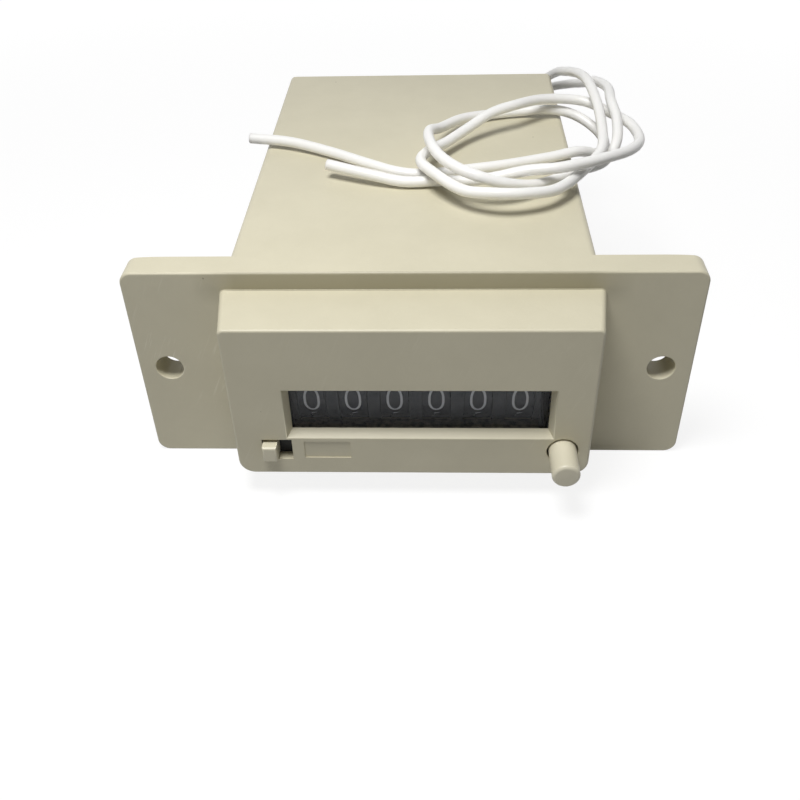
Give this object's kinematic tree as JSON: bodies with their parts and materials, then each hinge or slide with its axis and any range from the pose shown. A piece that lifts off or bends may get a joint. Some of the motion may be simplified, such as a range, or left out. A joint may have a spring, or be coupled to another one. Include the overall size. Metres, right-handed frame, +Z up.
{
  "type": "panel counter",
  "caption": "Electromagnetic totalising counter for panel mounting: beige flanged case, number wheels behind a window, push-to-zero button, lock slide and white coil leads.",
  "frame": {"origin": "midway between the two mounting holes, on the rear face of the flange", "axes": "+X right as seen from the front, +Y into the panel (the front faces -Y), +Z up"},
  "size_m": [0.09, 0.1129, 0.0437],
  "materials": {
    "beige_moulding": "satin moulded",
    "clear_lens": "clear polished",
    "dark_moulding": "matt moulded",
    "wheel_plastic": "satin moulded, light figures printed on the rim",
    "white_nylon": "satin moulded",
    "plated_sheet": "zinc plated",
    "ground_steel": "ground",
    "spring_wire": "drawn",
    "soft_iron": "nickel plated",
    "plated_screws": "zinc plated",
    "copper_wire": "enamelled",
    "wrap_paper": "varnished",
    "tinned_brass": "tinned",
    "cover_moulding": "satin moulded",
    "black_rubber": "matt",
    "lead_insulation": "satin extruded"
  },
  "bodies": {
    "case": {"housing": "beige_moulding", "window_lens": "clear_lens", "wheel_mask": "dark_moulding", "pinion_spacers": "white_nylon", "coil_bobbin": "white_nylon", "frame": "plated_sheet", "wheel_axle": "ground_steel", "pinion_axle": "ground_steel", "armature_pin": "ground_steel", "spring_post": "ground_steel", "tie_rod": "ground_steel", "reset_spring": "spring_wire", "comb_spring": "spring_wire", "armature_spring": "spring_wire", "magnet_yoke": "soft_iron", "magnet_core": "soft_iron", "core_screw": "plated_screws", "tie_screws": "plated_screws", "frame_screws": "plated_screws", "cover_screws": "plated_screws", "axle_clips": "plated_screws", "coil_winding": "copper_wire", "coil_wrap": "wrap_paper", "coil_terminals": "tinned_brass", "rear_cover": "cover_moulding", "lead_grommet": "black_rubber", "inner_leads": "lead_insulation", "lead_1": "lead_insulation", "lead_2": "lead_insulation"},
    "button": {"reset_button": "beige_moulding"},
    "lock": {"lock_slide": "dark_moulding", "lock_knob": "beige_moulding"},
    "reset_lever": {"reset_shaft": "ground_steel", "reset_comb": "plated_sheet", "reset_arm": "plated_sheet"},
    "armature": {"armature": "soft_iron", "drive_anchor": "plated_sheet"},
    "wheel_1": {"number_wheel_1": "wheel_plastic"},
    "wheel_2": {"number_wheel_2": "wheel_plastic"},
    "wheel_3": {"number_wheel_3": "wheel_plastic"},
    "wheel_4": {"number_wheel_4": "wheel_plastic"},
    "wheel_5": {"number_wheel_5": "wheel_plastic"},
    "wheel_6": {"number_wheel_6": "wheel_plastic", "drive_ratchet": "white_nylon"},
    "pinion_1": {"transfer_pinion_1": "white_nylon"},
    "pinion_2": {"transfer_pinion_2": "white_nylon"},
    "pinion_3": {"transfer_pinion_3": "white_nylon"},
    "pinion_4": {"transfer_pinion_4": "white_nylon"},
    "pinion_5": {"transfer_pinion_5": "white_nylon"}
  },
  "joints": [
    {"name": "reset_press", "type": "slide", "parent": "case", "child": "button", "axis": [0, 1, 0], "range_m": [0, 0.0035], "stiffness_N_per_m": 150, "springref_m": -0.004, "deforming": ["reset_spring"]},
    {"name": "lever_swing", "type": "hinge", "parent": "case", "child": "reset_lever", "pos_m": [0, 0.0095, 0.0095], "axis": [1, 0, 0], "range_deg": [0, 11.5], "deforming": ["comb_spring"]},
    {"name": "lock_shift", "type": "slide", "parent": "case", "child": "lock", "axis": [1, 0, 0], "range_m": [0, 0.0022]},
    {"name": "armature_pull", "type": "hinge", "parent": "case", "child": "armature", "pos_m": [0, 0.0221, -0.0103], "axis": [-1, 0, 0], "range_deg": [0, 4], "stiffness_Nm_per_rad": 0.05, "springref_deg": -6.02, "deforming": ["armature_spring"]},
    {"name": "wheel_turn_1", "type": "hinge", "parent": "case", "child": "wheel_1", "pos_m": [-0.0158, -0.0037, 0], "axis": [-1, 0, 0], "continuous": true},
    {"name": "wheel_turn_2", "type": "hinge", "parent": "case", "child": "wheel_2", "pos_m": [-0.00925, -0.0037, 0], "axis": [-1, 0, 0], "continuous": true},
    {"name": "wheel_turn_3", "type": "hinge", "parent": "case", "child": "wheel_3", "pos_m": [-0.0027, -0.0037, 0], "axis": [-1, 0, 0], "continuous": true},
    {"name": "wheel_turn_4", "type": "hinge", "parent": "case", "child": "wheel_4", "pos_m": [0.00384, -0.0037, 0], "axis": [-1, 0, 0], "continuous": true},
    {"name": "wheel_turn_5", "type": "hinge", "parent": "case", "child": "wheel_5", "pos_m": [0.01039, -0.0037, 0], "axis": [-1, 0, 0], "continuous": true},
    {"name": "wheel_turn_6", "type": "hinge", "parent": "case", "child": "wheel_6", "pos_m": [0.01695, -0.0037, 0], "axis": [-1, 0, 0], "continuous": true},
    {"name": "pinion_turn_1", "type": "hinge", "parent": "case", "child": "pinion_1", "pos_m": [-0.01265, 0.00195, -0.00979], "axis": [-1, 0, 0], "continuous": true},
    {"name": "pinion_turn_2", "type": "hinge", "parent": "case", "child": "pinion_2", "pos_m": [-0.00611, 0.00195, -0.00979], "axis": [-1, 0, 0], "continuous": true},
    {"name": "pinion_turn_3", "type": "hinge", "parent": "case", "child": "pinion_3", "pos_m": [0.00044, 0.00195, -0.00979], "axis": [-1, 0, 0], "continuous": true},
    {"name": "pinion_turn_4", "type": "hinge", "parent": "case", "child": "pinion_4", "pos_m": [0.007, 0.00195, -0.00979], "axis": [-1, 0, 0], "continuous": true},
    {"name": "pinion_turn_5", "type": "hinge", "parent": "case", "child": "pinion_5", "pos_m": [0.01354, 0.00195, -0.00979], "axis": [-1, 0, 0], "continuous": true}
  ],
  "couplings": [
    {"joint": "lever_swing", "follows": "reset_press", "rad_per_m": 56.338},
    {"joint": "pinion_turn_1", "follows": "wheel_turn_1", "ratio": -2.5},
    {"joint": "pinion_turn_2", "follows": "wheel_turn_2", "ratio": -2.5},
    {"joint": "pinion_turn_3", "follows": "wheel_turn_3", "ratio": -2.5},
    {"joint": "pinion_turn_4", "follows": "wheel_turn_4", "ratio": -2.5},
    {"joint": "pinion_turn_5", "follows": "wheel_turn_5", "ratio": -2.5}
  ]
}
